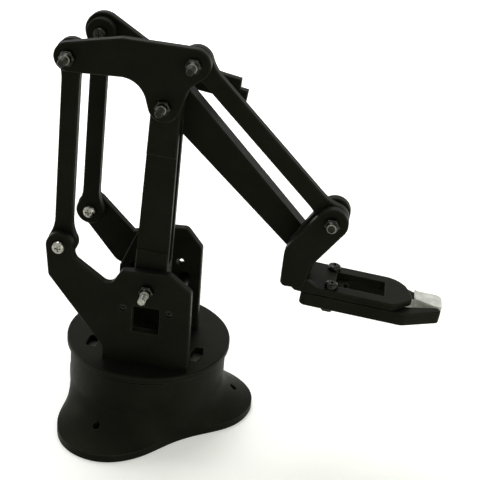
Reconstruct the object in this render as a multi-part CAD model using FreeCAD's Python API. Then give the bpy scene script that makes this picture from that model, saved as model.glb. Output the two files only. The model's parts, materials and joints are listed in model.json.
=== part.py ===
import FreeCAD, Part
import os
from math import sin, cos, asin, atan2, hypot, pi, radians

# Small desktop robot arm: a round turntable on a trefoil base carries two side plates.
# A lower arm and a forearm are moved by levers, and two parallelograms of flat links keep
# the gripper level.  All sizes in millimetres.  +Z is up, +X is the arm's forward side, and
# the origin is the centre of the base's underside, on the axis of the turntable.

V = FreeCAD.Vector

# Sheet and running fits
sheet = 4.0              # thickness of the flat plates and links
layer_gap = 0.4          # air between two plates that move past each other
pivot_clearance = 0.05   # radial play of a pivot bolt in its hole
seat_clearance = 0.05    # play of a tab in its slot, on each side
face_gap = 0.2           # air between a bolt head or nut and the part that turns beside it
edge_break = 0.4         # small bevel round the outline of the plates

# Fasteners
bolt_radius = 1.5
head_radius = 2.75
head_height = 2.2
nut_width = 5.5          # across the flats
nut_hex_height = 2.6
nut_collar_radius = 2.4
nut_collar_height = 1.4
thin_nut_height = 1.2    # of the nuts under the jaws
hex_share = 0.8          # of the hexagon in a thin nut's height
yaw_hex_share = 0.65     # the same for the nut of the yaw bolt
shoulder_tip = 6.0       # thread left standing beyond the shoulder's nut
bolt_tip = 4.6           # thread left standing beyond the triangle's nuts
short_tip = 0.8          # thread left standing beyond the other nuts
cross_width = 0.75       # cross recess of the pan heads
cross_depth = 1.1
cross_reach = 0.52       # of an arm of the recess, as a share of the head's radius
nut_bevel_share = 0.16   # of a nut's hexagon
collar_taper = 0.5
set_screw_sink = 0.6     # of the headless screws below the near plate's face
socket_width = 1.6       # hexagon socket of a headless screw, across the corners
socket_depth = 1.4

# Base
drum_radius = 34.8
lobe_reach = 50.6        # from the axis to the tip of a lobe
lobe_turn = 11.0         # direction of the first lobe, degrees from +X
foot_skew = 2.2          # the foot's lobes reach further by this much on one side
skew_angle = 230.0
lobe_thickness = 3.4
flare_height = 13.6      # over which a lobe runs out into the drum
flare_power = 2.4        # how fast it does so
drum_height = 31.0
drum_wall = 3.0
mount_circle_radius = 40.0
mount_hole_radius = 1.7
cover_thickness = 2.4
cover_inset = 0.6        # the cover lies this far above the standing face
cover_rim = 2.0
yaw_play = 0.02          # radial play of the yaw bolt in the base's boss
yaw_boss_radius = 7.0
yaw_boss_length = 9.0
yaw_bolt_radius = 2.0
yaw_head_radius = 3.6
yaw_head_height = 2.6
yaw_nut_width = 7.0
yaw_nut_height = 3.2
yaw_collar_radius = 3.0

# Turntable
disc_radius = 36.4
disc_thickness = 3.0
disc_lift = 1.0          # slip ring that carries the disc
disc_float = 0.1         # air between the ring and the disc
ring_outer_radius = 27.0
ring_inner_radius = 21.0
disc_edge = 0.5          # bevel round the rim
key_hole = (24.0, -11.2)         # six-sided opening in front of the right-hand side
key_hole_half_width = 3.0
key_hole_half_length = 5.6
key_hole_taper = 0.6     # width of the opening's ends, as a share of its middle
lead_hole = (-22.4, -10.6)       # arched opening on the left-hand side
lead_hole_radius = 2.3
lead_hole_length = 6.6

# Side plates
near_face = 25.0         # from the middle plane to the outer face of the near plates
shoulder_x = 3.3
shoulder_height = 35.9   # above the disc's top face
tab_width = 8.0
tab_root = 0.5           # of a tab inside its plate
near_tab_rear = 10.5     # tabs from the shoulder's plane
near_tab_front = 11.5
far_tab_rear = 12.0
far_tab_front = 9.0
plate_round = 2.6        # outer corners of the side plates
window_width = 11.8
window_height = 12.4
window_drop = 8.0        # from the shoulder to the window's top edge
window_round = 0.8       # corners of the window and of the deck's slot
near_rear_run = 18.3     # bottom edge of the near plate, behind the shoulder and in front of it
near_front_run = 19.3
near_front_inset = 3.2   # centre of the upper front corner, behind the front edge
near_front_rise = 0.2    # and above the shoulder
near_top_front = 8.4     # centres of the top edge's ends, from the shoulder's plane
near_top_rear = 9.6
near_top_front_rise = 6.1        # and above the shoulder
near_top_rear_rise = 5.6
near_top_rear_round = 2.2
near_valley = 17.0       # hollow behind the top edge, from the shoulder's plane
near_valley_rise = 4.2
near_valley_round = 3.4
neck_run = 10.0          # hollow in front of the levelling pivot
neck_drop = 2.4
neck_round = 4.0
rear_run = 1.2           # rear corner of the near plate, behind and below the levelling pivot
rear_drop = 12.4
rear_round = 3.6
root_run = 3.0           # hollow where the rear edge meets the bottom one
root_rise = 4.9
root_round = 3.0
far_rear_run = 20.5      # bottom edge of the far plate
far_front_run = 16.9
far_front_inset = 3.0    # centre of its upper front corner, behind the front edge
far_front_rise = 4.6     # and above the shoulder
far_top_front = 8.2      # centres of its top edge's ends
far_top_rear = 9.4
far_top_front_rise = 11.5
far_top_rear_rise = 10.6
far_back_inset = 3.1     # centre of its rear corner, in front of the rear edge
far_back_drop = 9.0
far_back_round = 2.8
far_holes = ((-13.9, -6.9), (7.2, -2.3))         # open holes of the far plate, from the shoulder
bar_offset = 9.8         # of the two cross bars from the shoulder's plane
bar_drop = 9.6
bar_radius = 2.5
bar_screw_depth = 7.0
far_hole_radius = 1.75

# Arms and linkage
lower_length = 80.55     # shoulder to elbow
lower_lean = 2.21        # degrees from upright
lower_depth = 11.0
lower_foot_radius = 6.9
lower_top_radius = 5.8
lower_web = 3.0
lower_cheek = 2.8
face_recess = 0.8        # of the lower arm's near face between its ends
recess_low = 16.0        # from the shoulder up to the recess
recess_high = 22.0       # from the elbow down to it
groove_foot_gap = 3.0    # solid left between the lower arm's bosses and its grooves
groove_top_gap = 2.0
fore_length = 81.0       # elbow to wrist
fore_slope = 44.1        # degrees below level
fore_depth = 8.0
fore_root_radius = 7.5
fore_end_radius = 5.2
fore_drop = 0.8          # of the outline below the line through the pivots
fore_pocket_depth = 2.4
fore_rim = 2.2
pocket_root_gap = 8.0    # from the round ends of the forearm to the centres of the pocket's ends
pocket_end_gap = 6.5
pocket_root_inset = 0.8  # further inset of the pocket at the elbow
rear_length = 40.3       # levelling arms behind the shoulder and the elbow
rear_angle = 21.4        # of the levelling pivot, degrees above level
crank_length = 38.4      # driving arms behind the shoulder and the elbow
crank_angle = 21.5
front_length = 20.7      # elbow to the front link's pivot
front_angle = 58.6
link_width = 7.2
link_boss_radius = 6.2
link_neck_round = 16.0
lobe_radius = 6.3        # round ends of the plates at their pivots
level_lobe_radius = 5.8  # the same at the levelling link's pivots
waist_front = 14.2       # front hollow of the triangle, from the elbow
waist_front_rise = 5.2
waist_front_round = 5.6
waist_rear = 17.0        # rear hollow
waist_rear_drop = 0.6
waist_rear_round = 10.2
crown_rear = 16.4        # bend in the triangle's top edge
crown_rise = 18.2
crown_round = 6.4
lever_lobe_radius = 7.8
lever_waist = 4.6
lever_waist_share = 0.52         # place of the waist between the elbow and the lever's pivot
# stepped nose of the lever, corners from the elbow
nose_corners = ((-2.0, -5.0), (25.7, -9.0), (26.4, -3.9), (23.0, -3.3), (23.2, 0.7), (14.9, 2.2), (2.0, 5.0))
lever_face = 21.6        # from the middle plane to the far face of the crank and the elbow lever
crank_hub_radius = 8.2
crank_end_radius = 6.8
crank_boss_radius = 5.0
knee_length = 19.6       # shoulder to the bend of the crank
knee_angle = 12.1        # degrees below level
knee_radius = 8.1
horn_circle_radius = 5.4
horn_hole_radius = 0.8
tube_radius = 5.4        # hollow shaft from the forearm to its lever
key_radius = 1.2         # dowels that lock the lever to the forearm
key_depth = 3.0
key_offset = 3.4
key_end_play = 0.2       # below a dowel in its hole

# Wrist and gripper
gripper_pitch = 4.2      # degrees nose-down at rest
gripper_plane = -13.2    # Y of the plane between the two jaws
deck_drop = 10.6         # from the wrist's pivot down to the deck's top face
deck_thickness = 3.0
deck_length = 47.6       # from the wrist's pivot to the tip of the deck's nose
deck_width = 23.0
deck_rear = 4.8          # from the wrist's pivot to the deck's wide part
deck_rear_round = 4.5
nose_far_round = 10.5
nose_near_round = 4.5
nose_near_inset = 4.6    # centres of the nose's corners, behind its tip
nose_far_inset = 1.2
nose_shift = 2.0         # of the nose's tip towards the near side
deck_tail = 5.6          # deck behind the wrist's pivot
deck_tail_width = 13.4
deck_tail_round = 2.7
deck_step_round = 2.5    # hollow where the tail meets the wide part
deck_step_run = 2.6
slot_start = 15.9
slot_length = 20.2
slot_width = 12.2
wrist_radius = 6.3
collar_radius = 4.4      # between the front link and the inner cheek
foot_height = 4.6
deck_screw_shift = 1.6   # of the screws under the deck, behind the wrist's plane
deck_screw_spread = 4.2
deck_screw_radius = 1.0
deck_screw_head = 1.8
deck_screw_head_height = 1.4
deck_screw_cover = 0.6   # of the foot above the ends of these screws
deck_screw_end_play = 0.2
foot_length = 10.6
peg_radius = 1.2
peg_length = 1.6
peg_spread = 4.8
peg_shift = -1.4         # of the pegs' middle from the wrist's plane
peg_end_play = 0.1
cheek_back = 0.4         # round bend of the near cheek, behind and above the wrist's pivot
cheek_lift = 2.0
cheek_drop = 9.9         # centres of the lower corners of the near cheek, below the pivot
cheek_toe_rear = 4.6
cheek_toe_front = 0.6
cheek_toe_round = 2.4
cheek_hollow_run = 10.2  # hollow of its front edge
cheek_hollow_drop = 4.4
cheek_hollow_round = 6.1
jaw_thickness = 5.6
jaw_gap = 0.3            # air between the deck and the jaws
jaw_pivot_x = 14.4
tooth_count = 16         # of the whole gear of which each jaw has a part
tooth_module = 1.0
tooth_rise = 0.72        # above and below the pitch line, in modules
tooth_sink = 1.15
tooth_tip_half = 0.13    # half widths of a tooth, as shares of the pitch
tooth_root_half = 0.36
jaw_half_width = 11.5    # from the gripper's middle plane to the outer side of a closed jaw
heel_x = 5.4             # rounded heel behind a jaw's pivot
heel_radius = 2.6
knuckle_x = 43.5         # centre of the bend of a finger
knuckle_radius = 5.5
claw_round = 4.0         # hollow of the bend
claw_shift = 0.5         # behind the bend's centre
claw_inset = 6.1         # from the outer side to the inner side of a finger
jaw_tip_x = 58.3
jaw_tip_radius = 1.7
jaw_tip_gap = 0.4        # from each closed tip to the gripper's middle plane
jaw_screw_tip = 0.4      # thread left standing beyond the jaws' nuts

# Levels and layers that follow from the sizes above
ring_top = drum_height + disc_lift
disc_bottom = ring_top + disc_float
disc_top = disc_bottom + disc_thickness
shoulder_z = disc_top + shoulder_height
near_out = -near_face
near_in = near_out + sheet
link_near = near_in + layer_gap                 # near face of the near links
link_far = link_near + sheet
lower_near = near_in + layer_gap
lower_far = lower_near + lower_depth
fore_near = lower_far + layer_gap
fore_far = fore_near + fore_depth
crank_far = lever_face
crank_near = crank_far - sheet
drive_far = crank_near - layer_gap              # the driving link on the far side
drive_near = drive_far - sheet
far_out = drive_near - layer_gap                # the far side plate
far_in = far_out - sheet
cheek_far = fore_near - layer_gap               # inner cheek of the wrist
cheek_near = cheek_far - sheet
link_seat = link_far + face_gap
hole = bolt_radius + pivot_clearance
nut_height = nut_hex_height + nut_collar_height

# Pivots, as (x, z)
def polar(origin, length, angle):
    return (origin[0] + length * cos(radians(angle)), origin[1] + length * sin(radians(angle)))

shoulder = (shoulder_x, shoulder_z)
elbow = polar(shoulder, lower_length, 90.0 - lower_lean)
wrist = polar(elbow, fore_length, -fore_slope)
level_low = polar(shoulder, rear_length, 180.0 - rear_angle)
level_high = polar(elbow, rear_length, 180.0 - rear_angle)
crank_end = polar(shoulder, crank_length, 180.0 - crank_angle)
knee = polar(shoulder, knee_length, 180.0 + knee_angle)
lever_end = polar(elbow, crank_length, 180.0 - crank_angle)
front_high = polar(elbow, front_length, front_angle)
front_low = polar(wrist, front_length, front_angle)


# Outlines

def belt(circles):
    """Closed outline round a chain of circles (a, b, r), anticlockwise, joined by tangents.
    A negative radius is a hollow corner, a zero radius a sharp one."""
    count = len(circles)
    normals = []
    for i in range(count):
        a0, b0, r0 = circles[i]
        a1, b1, r1 = circles[(i + 1) % count]
        da, db = a1 - a0, b1 - b0
        lean = max(-1.0, min(1.0, (r1 - r0) / hypot(da, db)))     # exactly 1 where two arcs touch
        turn = atan2(db, da) - asin(lean)
        normals.append((-sin(turn), cos(turn)))
    pieces = []
    for i in range(count):
        a, b, r = circles[i]
        before, after = normals[i - 1], normals[i]
        p = (a - r * before[0], b - r * before[1])
        q = (a - r * after[0], b - r * after[1])
        if abs(r) > 1e-9 and hypot(q[0] - p[0], q[1] - p[1]) > 1e-6:
            start = atan2(p[1] - b, p[0] - a)
            sweep = (atan2(q[1] - b, q[0] - a) - start) % (2 * pi)
            if r < 0:
                sweep -= 2 * pi
            mid = (a + abs(r) * cos(start + sweep / 2), b + abs(r) * sin(start + sweep / 2))
            pieces.append((p, mid, q))
        a1, b1, r1 = circles[(i + 1) % count]
        end = (a1 - r1 * after[0], b1 - r1 * after[1])
        if hypot(end[0] - q[0], end[1] - q[1]) > 1e-6:
            pieces.append((q, end))
    # each piece starts exactly where the one before it ends
    return [(pieces[i - 1][-1],) + tuple(piece[1:]) for i, piece in enumerate(pieces)]


def solid_from(pieces, place, rise):
    """Extrudes an outline whose points are put in space by place."""
    edges = []
    for piece in pieces:
        points = [place(p) for p in piece]
        if len(points) == 2:
            edges.append(Part.LineSegment(points[0], points[1]).toShape())
        else:
            edges.append(Part.Arc(points[0], points[1], points[2]).toShape())
    return Part.Face(Part.Wire(edges)).extrude(rise)


def upright(circles, y0, y1, bevel=0.0):
    """Plate with its outline in the XZ plane, between two Y levels."""
    plate = solid_from(belt(circles), lambda p: V(p[0], y0, p[1]), V(0, y1 - y0, 0))
    if bevel:
        plate = plate.makeChamfer(bevel, [e for e in plate.Edges if e.BoundBox.YLength < 1e-6])
    return plate


def level(circles, z0, z1, bevel=0.0):
    """Plate with its outline in the XY plane, between two Z levels."""
    plate = solid_from(belt(circles), lambda p: V(p[0], p[1], z0), V(0, 0, z1 - z0))
    if bevel:
        plate = plate.makeChamfer(bevel, [e for e in plate.Edges if e.BoundBox.ZLength < 1e-6])
    return plate


def rod(point, radius, y0, y1):
    """Cylinder along Y through the XZ point."""
    return Part.makeCylinder(radius, y1 - y0, V(point[0], y0, point[1]), V(0, 1, 0))


def box(x0, x1, y0, y1, z0, z1):
    return Part.makeBox(x1 - x0, y1 - y0, z1 - z0, V(x0, y0, z0))


def pitched(shape):
    """Tips a piece of the gripper, drawn level, about the wrist's pivot."""
    out = shape.copy()
    out.rotate(V(wrist[0], 0, wrist[1]), V(0, 1, 0), gripper_pitch)
    return out


def one(shape):
    """The single solid of a boolean result."""
    shape = shape.removeSplitter()
    if shape.ShapeType != "Solid" and len(shape.Solids) == 1:
        shape = shape.Solids[0]
    return shape


# Fasteners, drawn along +Z with the head's or nut's seat at z = 0, then stood in place

def pan_screw(radius, length, head_r, head_h):
    """Pan-head screw: the head rises above z = 0 and the shank runs down."""
    tip = min(0.3, radius / 3)
    outline = [(0, -length), (radius - tip, -length), (radius, -length + tip), (radius, 0), (head_r, 0),
               (head_r, head_h * 0.45), (head_r * 0.89, head_h * 0.82), (head_r * 0.62, head_h), (0, head_h)]
    points = [V(a, 0, b) for a, b in outline]
    screw = Part.Face(Part.makePolygon(points + points[:1])).revolve(V(0, 0, 0), V(0, 0, 1), 360)
    arm = head_r * cross_reach
    w = cross_width / 2
    cross = box(-arm, arm, -w, w, head_h - cross_depth, head_h + 1).fuse(
        box(-w, w, -arm, arm, head_h - cross_depth, head_h + 1))
    return one(screw.cut(cross))


def hexagon(corner, z):
    """Six-sided wire about the Z axis, with its corners at the given distance."""
    return Part.makePolygon([V(corner * cos(pi / 3 * k), corner * sin(pi / 3 * k), z) for k in range(7)])


def lock_nut(radius, width, hex_height, collar_r, collar_h):
    """Lock nut with a hexagon seated on z = 0 and a round collar above it."""
    corner = width / 3 ** 0.5
    bevel = hex_height * nut_bevel_share
    foot, rim = hexagon(corner, 0), hexagon(corner, hex_height - bevel)
    crown = hexagon(corner - bevel * 1.4, hex_height)
    body = Part.makeLoft([foot, rim, crown], True, True)
    collar = Part.makeCone(collar_r, collar_r - collar_taper, collar_h, V(0, 0, hex_height))
    bore = Part.makeCylinder(radius, hex_height + collar_h + 2, V(0, 0, -1))
    return one(body.fuse(collar).cut(bore))


def stand(shape, point, y, outward):
    """Puts a fastener drawn along +Z at an XZ point with its seat at y and its top along
    outward (+1 or -1) on the Y axis."""
    out = shape.copy()
    out.rotate(V(0, 0, 0), V(1, 0, 0), -90.0 * outward)
    out.translate(V(point[0], y, point[1]))
    return out


def bolt(point, head_y, outward, length):
    return stand(pan_screw(bolt_radius, length, head_radius, head_height), point, head_y, outward)


def nut(point, seat_y, outward):
    shape = lock_nut(bolt_radius, nut_width, nut_hex_height, nut_collar_radius, nut_collar_height)
    return stand(shape, point, seat_y, outward)


# Base

def trefoil_section(z, share):
    """Round section at height z whose three lobes stand out by a share of their full reach."""
    count = 18
    points = []
    for k in range(count):
        angle = 2 * pi * k / count
        swell = (1 + cos(3 * (angle - radians(lobe_turn)))) / 2
        reach = lobe_reach + foot_skew * cos(angle - radians(skew_angle))
        r = drum_radius + (reach - drum_radius) * swell * share
        points.append(V(r * cos(angle), r * sin(angle), z))
    curve = Part.BSplineCurve()
    curve.interpolate(points, PeriodicFlag=True)
    return Part.Wire(curve.toShape())


def base_shell():
    foot = Part.Face(trefoil_section(0, 1.0)).extrude(V(0, 0, lobe_thickness))
    steps = 3
    sections = []
    for k in range(steps + 1):
        t = k / steps
        sections.append(trefoil_section(lobe_thickness + flare_height * t, (1 - t) ** flare_power))
    flare = Part.makeLoft(sections, True, False)
    neck = lobe_thickness + flare_height
    drum = Part.Face(trefoil_section(neck, 0.0)).extrude(V(0, 0, drum_height - neck))
    # the cavity is open below and closed above by the drum's top wall
    cuts = [Part.makeCylinder(drum_radius - drum_wall, drum_height - drum_wall + 1, V(0, 0, -1))]
    for k in range(3):
        x, y = polar((0, 0), mount_circle_radius, lobe_turn + 120.0 * k)
        cuts.append(Part.makeCylinder(mount_hole_radius, drum_height, V(x, y, -1)))
    rings = []
    for piece in (foot, flare, drum):
        for cutter in cuts:
            piece = piece.cut(cutter)
        rings.append(piece)
    shell = rings[0].fuse(rings[1]).fuse(rings[2])
    boss = Part.makeCylinder(yaw_boss_radius, yaw_boss_length,
                             V(0, 0, drum_height - drum_wall - yaw_boss_length))
    shell = shell.fuse(boss)
    shell = shell.cut(Part.makeCylinder(yaw_bolt_radius + yaw_play, drum_height * 2, V(0, 0, -1)))
    return one(shell)


def base_cover():
    """Round cover under the drum, held by its own edge."""
    r = drum_radius - drum_wall - seat_clearance
    cover = Part.makeCylinder(r, cover_thickness, V(0, 0, cover_inset))
    rim = Part.makeCylinder(r, cover_thickness * 2, V(0, 0, cover_inset)).cut(
        Part.makeCylinder(r - cover_rim, cover_thickness * 3, V(0, 0, cover_inset)))
    return one(cover.fuse(rim))


def yaw_bolt():
    seat = disc_top + face_gap
    nut_seat = drum_height - drum_wall - yaw_boss_length
    length = seat - nut_seat + yaw_nut_height + short_tip
    shape = pan_screw(yaw_bolt_radius, length, yaw_head_radius, yaw_head_height)
    shape.translate(V(0, 0, seat))
    return shape


def yaw_nut():
    hex_height = yaw_nut_height * yaw_hex_share
    collar_height = yaw_nut_height - hex_height
    shape = lock_nut(yaw_bolt_radius, yaw_nut_width, hex_height, yaw_collar_radius, collar_height)
    shape.rotate(V(0, 0, 0), V(1, 0, 0), 180)
    shape.translate(V(0, 0, drum_height - drum_wall - yaw_boss_length))
    return shape


def slip_ring():
    return Part.makeCylinder(ring_outer_radius, disc_lift, V(0, 0, drum_height)).cut(
        Part.makeCylinder(ring_inner_radius, disc_lift, V(0, 0, drum_height)))


# Turntable

near_tabs = (shoulder_x - near_tab_rear, shoulder_x + near_tab_front)
far_tabs = (shoulder_x - far_tab_rear, shoulder_x + far_tab_front)
bars = ((shoulder_x - bar_offset, shoulder_z - bar_drop),
        (shoulder_x + bar_offset, shoulder_z - bar_drop))


def disc():
    plate = Part.makeCylinder(disc_radius, disc_thickness, V(0, 0, disc_bottom))
    rims = [e for e in plate.Edges if e.Closed and abs(e.Length - 2 * pi * disc_radius) < 0.01]
    plate = plate.makeChamfer(disc_edge, rims)
    bore = Part.makeCylinder(yaw_bolt_radius + pivot_clearance, disc_thickness + 2, V(0, 0, disc_bottom - 1))
    plate = plate.cut(bore)
    c = seat_clearance
    for tabs, y0, y1 in ((near_tabs, near_out, near_in), (far_tabs, far_in, far_out)):
        for x in tabs:
            plate = plate.cut(box(x - tab_width / 2 - c, x + tab_width / 2 + c, y0 - c, y1 + c,
                                  disc_bottom - 1, disc_top + 1))
    x, y = key_hole
    w, h = key_hole_half_width, key_hole_half_length
    end = key_hole_taper * w
    six_sided = [(x + w, y, 0), (x + end, y + h, 0), (x - end, y + h, 0),
                 (x - w, y, 0), (x - end, y - h, 0), (x + end, y - h, 0)]
    plate = plate.cut(level(six_sided, disc_bottom - 1, disc_top + 1))
    x, y = lead_hole
    r = lead_hole_radius
    arch = [(x, y, r), (x - r, y - lead_hole_length, 0), (x + r, y - lead_hole_length, 0)]
    return one(plate.cut(level(arch, disc_bottom - 1, disc_top + 1)))


def with_tabs(plate, tabs, y0, y1):
    for x in tabs:
        tab = box(x - tab_width / 2, x + tab_width / 2, y0, y1, disc_bottom, disc_top + tab_root)
        plate = plate.fuse(tab)
    return plate


def rounded_box(x0, x1, z0, z1, r):
    """Outline of an upright rectangle with rounded corners."""
    return [(x0 + r, z0 + r, r), (x1 - r, z0 + r, r), (x1 - r, z1 - r, r), (x0 + r, z1 - r, r)]


def side_plate_near():
    x, z = shoulder
    nx, nz = level_low
    outline = [
        (x - near_rear_run, disc_top, 0), (x + near_front_run, disc_top, 0),
        (x + near_front_run - near_front_inset, z + near_front_rise, plate_round),
        (x + near_top_front, z + near_top_front_rise, plate_round),
        (x - near_top_rear, z + near_top_rear_rise, near_top_rear_round),
        (x - near_valley, z + near_valley_rise, -near_valley_round),
        (nx + neck_run, nz - neck_drop, -neck_round), (nx, nz, level_lobe_radius),
        (nx - rear_run, nz - rear_drop, rear_round),
        (x - near_rear_run - root_run, disc_top + root_rise, -root_round)]
    plate = upright(outline, near_out, near_in, edge_break)
    plate = with_tabs(plate, near_tabs, near_out, near_in)
    window_top = z - window_drop
    half = window_width / 2
    window = rounded_box(x - half, x + half, window_top - window_height, window_top, window_round)
    plate = plate.cut(upright(window, near_out - 1, near_in + 1))
    for point in (shoulder, level_low, bars[0], bars[1]):
        plate = plate.cut(rod(point, hole, near_out - 1, near_in + 1))
    return one(plate)


def side_plate_far():
    x, z = shoulder
    outline = [
        (x - far_rear_run, disc_top, 0), (x + far_front_run, disc_top, 0),
        (x + far_front_run - far_front_inset, z + far_front_rise, plate_round),
        (x + far_top_front, z + far_top_front_rise, plate_round),
        (x - far_top_rear, z + far_top_rear_rise, plate_round),
        (x - far_rear_run + far_back_inset, z - far_back_drop, far_back_round)]
    plate = with_tabs(upright(outline, far_in, far_out, edge_break), far_tabs, far_in, far_out)
    for point in (shoulder, bars[0], bars[1]):
        plate = plate.cut(rod(point, hole, far_in - 1, far_out + 1))
    for dx, dz in far_holes:
        plate = plate.cut(rod((x + dx, z + dz), far_hole_radius, far_in - 1, far_out + 1))
    return one(plate)


def cross_bars():
    out = []
    for point in bars:
        bar = rod(point, bar_radius, near_in, far_in)
        deep = bar_screw_depth + 1
        for y0, y1 in ((near_in, near_in + deep), (far_in - deep, far_in)):
            bar = bar.cut(rod(point, bolt_radius, y0, y1))
        out.append(bar)
    return Part.Compound(out)


def set_screw(length):
    """Headless screw with a hexagon socket, its top at z = 0."""
    socket = Part.Face(hexagon(socket_width / 2, -socket_depth)).extrude(V(0, 0, socket_depth + 1))
    return one(Part.makeCylinder(bolt_radius, length, V(0, 0, -length)).cut(socket))


def bar_screws():
    """Headless screws in the near plate and pan heads on the far one."""
    out = []
    for point in bars:
        length = sheet + bar_screw_depth
        out.append(stand(set_screw(length - set_screw_sink), point, near_out + set_screw_sink, -1))
        out.append(bolt(point, far_out, 1, length))
    return Part.Compound(out)


# Arms

def lower_arm():
    outline = [(elbow[0], elbow[1], lower_top_radius), (shoulder[0], shoulder[1], lower_foot_radius)]
    arm = upright(outline, lower_near, lower_far, edge_break)
    # grooves along both long edges leave two cheeks and a web between the end bosses
    wide = 3 * lower_foot_radius
    start = lower_foot_radius + groove_foot_gap
    end = lower_length - lower_top_radius - groove_top_gap
    for x0, x1 in ((-wide, -lower_web / 2), (lower_web / 2, wide)):
        groove = box(x0, x1, lower_near + lower_cheek, lower_far - lower_cheek, start, end)
        groove.rotate(V(0, 0, 0), V(0, 1, 0), lower_lean)
        groove.translate(V(shoulder[0], 0, shoulder[1]))
        arm = arm.cut(groove)
    recess_end = lower_length - recess_high
    recess = box(-wide, wide, lower_near - 1, lower_near + face_recess, recess_low, recess_end)
    recess.rotate(V(0, 0, 0), V(0, 1, 0), lower_lean)
    recess.translate(V(shoulder[0], 0, shoulder[1]))
    arm = arm.cut(recess)
    for point in (shoulder, elbow):
        arm = arm.cut(rod(point, hole, lower_near - 1, lower_far + 1))
    return one(arm)


def forearm():
    root, end = (polar(p, fore_drop, -fore_slope - 90.0) for p in (elbow, wrist))
    outline = [(*root, fore_root_radius), (*end, fore_end_radius)]
    arm = upright(outline, fore_near, fore_far, edge_break)
    # shallow pocket on the far face, inside an even rim
    a = polar(root, fore_root_radius + pocket_root_gap, -fore_slope)
    b = polar(end, -(fore_end_radius + pocket_end_gap), -fore_slope)
    pocket = [(*a, fore_root_radius - fore_rim - pocket_root_inset), (*b, fore_end_radius - fore_rim)]
    arm = arm.cut(upright(pocket, fore_far - fore_pocket_depth, fore_far + 1))
    for point in (elbow, wrist):
        arm = arm.cut(rod(point, hole, fore_near - 1, fore_far + 1))
    for point in key_points():
        bottom = fore_far - key_depth - key_end_play
        arm = arm.cut(rod(point, key_radius + seat_clearance, bottom, fore_far + 1))
    return one(arm)


def key_points():
    return (polar(elbow, key_offset, 90.0 - fore_slope), polar(elbow, -key_offset, 90.0 - fore_slope))


def elbow_lever():
    """Lever behind the elbow with its nose in front, and the hollow shaft to the forearm."""
    ex, ez = elbow
    mid = polar(elbow, crank_length * lever_waist_share, 180.0 - crank_angle)
    lobe, waist, hub = (*lever_end, lever_lobe_radius), (*mid, lever_waist), (ex, ez, lobe_radius)
    plate = upright([lobe, waist], crank_near, crank_far, edge_break)
    plate = plate.fuse(upright([waist, hub], crank_near, crank_far, edge_break))
    nose = [(ex + dx, ez + dz, 0) for dx, dz in nose_corners]
    plate = plate.fuse(upright(nose, crank_near, crank_far, edge_break))
    plate = plate.fuse(rod(elbow, tube_radius, fore_far, crank_near + 0.5))
    for point in key_points():
        plate = plate.fuse(rod(point, key_radius, fore_far - key_depth, fore_far + 1))
    plate = plate.cut(rod(elbow, hole, fore_far - 1, crank_far + 1))
    plate = plate.cut(rod(lever_end, hole, crank_near - 1, crank_far + 1))
    return one(plate)


def crank():
    """Bent driving crank outside the far plate, with the screw holes of a drive horn."""
    hub = (shoulder[0], shoulder[1], crank_hub_radius)
    bend = (knee[0], knee[1], knee_radius)
    end = (crank_end[0], crank_end[1], crank_end_radius)
    plate = upright([end, bend], crank_near, crank_far, edge_break)
    plate = plate.fuse(upright([bend, hub], crank_near, crank_far, edge_break))
    plate = plate.fuse(rod(shoulder, crank_boss_radius, far_out + face_gap, crank_near + sheet / 2))
    plate = plate.cut(rod(shoulder, hole, far_out, crank_far + 1))
    plate = plate.cut(rod(crank_end, hole, crank_near - 1, crank_far + 1))
    for k in range(4):
        point = polar(shoulder, horn_circle_radius + horn_hole_radius, 180.0 + knee_angle + 90.0 * k + 45.0)
        plate = plate.cut(rod(point, horn_hole_radius, far_out, crank_far + 1))
    return one(plate)


def link(low, high, y0):
    """Flat link: round bosses at both pivots, run out into a narrower bar."""
    length = hypot(high[0] - low[0], high[1] - low[1])
    angle = atan2(high[1] - low[1], high[0] - low[0])
    r, w, n = link_boss_radius, link_width / 2, link_neck_round
    reach = ((r + n) ** 2 - (w + n) ** 2) ** 0.5
    circles = [(0, 0, r), (reach, -w - n, -n), (length - reach, -w - n, -n), (length, 0, r),
               (length - reach, w + n, -n), (reach, w + n, -n)]
    turned = [(low[0] + a * cos(angle) - b * sin(angle), low[1] + a * sin(angle) + b * cos(angle), s)
              for a, b, s in circles]
    plate = upright(turned, y0, y0 + sheet, edge_break)
    for point in (low, high):
        plate = plate.cut(rod(point, hole, y0 - 1, y0 + sheet + 1))
    return one(plate)


def triangle_plate():
    ex, ez = elbow
    fx, fz = front_high
    lx, lz = level_high
    outline = [
        (ex, ez, lobe_radius), (ex + waist_front, ez + waist_front_rise, -waist_front_round),
        (fx, fz, lobe_radius), (ex - crown_rear, ez + crown_rise, crown_round),
        (lx, lz, level_lobe_radius), (ex - waist_rear, ez - waist_rear_drop, -waist_rear_round)]
    plate = upright(outline, near_out, near_in, edge_break)
    for point in (elbow, front_high, level_high):
        plate = plate.cut(rod(point, hole, near_out - 1, near_in + 1))
    return one(plate)


# Wrist and gripper, drawn level about the wrist's pivot and then pitched

deck_top = wrist[1] - deck_drop
deck_bottom = deck_top - deck_thickness
jaw_top = deck_bottom - jaw_gap
jaw_bottom = jaw_top - jaw_thickness
jaw_centres = tooth_count * tooth_module
near_edge = gripper_plane - deck_width / 2
far_edge = gripper_plane + deck_width / 2
jaw_pivots = ((wrist[0] + jaw_pivot_x, gripper_plane - jaw_centres / 2),
              (wrist[0] + jaw_pivot_x, gripper_plane + jaw_centres / 2))
peg_points = [(wrist[0] + peg_shift + side * peg_spread / 2, deck_top + foot_height / 2) for side in (-1, 1)]
deck_screw_points = [(wrist[0] - deck_screw_shift + side * deck_screw_spread / 2, cheek_far - sheet / 2)
                     for side in (-1, 1)]


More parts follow.
